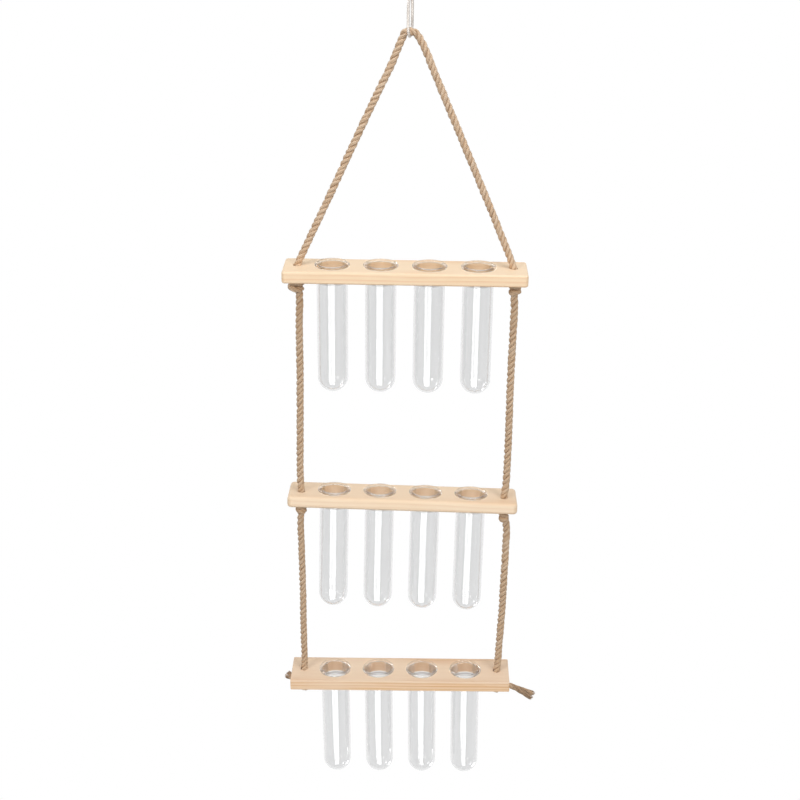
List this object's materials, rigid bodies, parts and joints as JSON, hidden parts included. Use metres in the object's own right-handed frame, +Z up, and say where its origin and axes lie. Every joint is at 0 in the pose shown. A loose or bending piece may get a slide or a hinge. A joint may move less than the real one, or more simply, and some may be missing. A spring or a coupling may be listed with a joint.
{
  "type": "hanging propagation vase",
  "caption": "Wall-hanging propagation vase: pine boards knotted one below the other on a jute rope under an S-hook, each carrying a row of round-bottomed glass test tubes by their lips.",
  "frame": {"origin": "the inside top of the S-hook's upper crook, where it rests on its peg; the whole part hangs below it", "axes": "+Z up, +X to the right along the boards, +Y towards the wall, so the viewer looks along +Y"},
  "size_m": [0.2909, 0.0557, 0.9109],
  "materials": {
    "pine": "satin",
    "glass": "gloss",
    "jute": "matte",
    "steel": "polished"
  },
  "bodies": {
    "hook": {"s_hook": "steel"},
    "sling": {"rope_sling": "jute"},
    "upper_tier": {"upper_board": "pine", "upper_left_knot": "jute", "upper_right_knot": "jute"},
    "upper_tube_1": {"upper_tube_1": "glass"},
    "upper_tube_2": {"upper_tube_2": "glass"},
    "upper_tube_3": {"upper_tube_3": "glass"},
    "upper_tube_4": {"upper_tube_4": "glass"},
    "middle_ropes": {"middle_left_rope": "jute", "middle_right_rope": "jute"},
    "middle_tier": {"middle_board": "pine", "middle_left_knot": "jute", "middle_right_knot": "jute"},
    "middle_tube_1": {"middle_tube_1": "glass"},
    "middle_tube_2": {"middle_tube_2": "glass"},
    "middle_tube_3": {"middle_tube_3": "glass"},
    "middle_tube_4": {"middle_tube_4": "glass"},
    "lower_ropes": {"lower_left_rope": "jute", "lower_right_rope": "jute"},
    "lower_tier": {"lower_board": "pine", "lower_left_knot": "jute", "lower_right_knot": "jute", "left_rope_end": "jute", "right_rope_end": "jute"},
    "lower_tube_1": {"lower_tube_1": "glass"},
    "lower_tube_2": {"lower_tube_2": "glass"},
    "lower_tube_3": {"lower_tube_3": "glass"},
    "lower_tube_4": {"lower_tube_4": "glass"}
  },
  "joints": [
    {"name": "sling_sway", "type": "hinge", "parent": "hook", "child": "sling", "pos_m": [0, 0, -0.0526], "axis": [0, 1, 0], "range_deg": [-12, 12]},
    {"name": "upper_board_tilt", "type": "hinge", "parent": "sling", "child": "upper_tier", "pos_m": [0, 0, -0.2837], "axis": [1, 0, 0], "range_deg": [-12, 12]},
    {"name": "upper_tube_1_lift", "type": "slide", "parent": "upper_tier", "child": "upper_tube_1", "axis": [0, 0, 1], "range_m": [0, 0.024]},
    {"name": "upper_tube_2_lift", "type": "slide", "parent": "upper_tier", "child": "upper_tube_2", "axis": [0, 0, 1], "range_m": [0, 0.128]},
    {"name": "upper_tube_3_lift", "type": "slide", "parent": "upper_tier", "child": "upper_tube_3", "axis": [0, 0, 1], "range_m": [0, 0.128]},
    {"name": "upper_tube_4_lift", "type": "slide", "parent": "upper_tier", "child": "upper_tube_4", "axis": [0, 0, 1], "range_m": [0, 0.024]},
    {"name": "middle_ropes_swing", "type": "hinge", "parent": "upper_tier", "child": "middle_ropes", "pos_m": [0, 0, -0.3102], "axis": [1, 0, 0], "range_deg": [-10, 10]},
    {"name": "middle_board_tilt", "type": "hinge", "parent": "middle_ropes", "child": "middle_tier", "pos_m": [0, 0, -0.5442], "axis": [0.9999, 0, -0.014], "range_deg": [-12, 12]},
    {"name": "middle_tube_1_lift", "type": "slide", "parent": "middle_tier", "child": "middle_tube_1", "axis": [0.0139, 0.0785, 0.9968], "range_m": [0, 0.108]},
    {"name": "middle_tube_2_lift", "type": "slide", "parent": "middle_tier", "child": "middle_tube_2", "axis": [0.0139, 0.0785, 0.9968], "range_m": [0, 0.108]},
    {"name": "middle_tube_3_lift", "type": "slide", "parent": "middle_tier", "child": "middle_tube_3", "axis": [0.0139, 0.0785, 0.9968], "range_m": [0, 0.108]},
    {"name": "middle_tube_4_lift", "type": "slide", "parent": "middle_tier", "child": "middle_tube_4", "axis": [0.0139, 0.0785, 0.9968], "range_m": [0, 0.108]},
    {"name": "lower_ropes_swing", "type": "hinge", "parent": "middle_tier", "child": "lower_ropes", "pos_m": [-0.00037, -0.00208, -0.57062], "axis": [0.9999, 0, -0.014], "range_deg": [-10, 10]},
    {"name": "lower_board_tilt", "type": "hinge", "parent": "lower_ropes", "child": "lower_tier", "pos_m": [-0.00037, -0.00208, -0.76912], "axis": [0.9999, 0, 0.014], "range_deg": [-12, 12]},
    {"name": "lower_tube_1_lift", "type": "slide", "parent": "lower_tier", "child": "lower_tube_1", "axis": [-0.014, 0, 0.9999], "range_m": [0, 0.076]},
    {"name": "lower_tube_2_lift", "type": "slide", "parent": "lower_tier", "child": "lower_tube_2", "axis": [-0.014, 0, 0.9999], "range_m": [0, 0.076]},
    {"name": "lower_tube_3_lift", "type": "slide", "parent": "lower_tier", "child": "lower_tube_3", "axis": [-0.014, 0, 0.9999], "range_m": [0, 0.076]},
    {"name": "lower_tube_4_lift", "type": "slide", "parent": "lower_tier", "child": "lower_tube_4", "axis": [-0.014, 0, 0.9999], "range_m": [0, 0.076]}
  ]
}
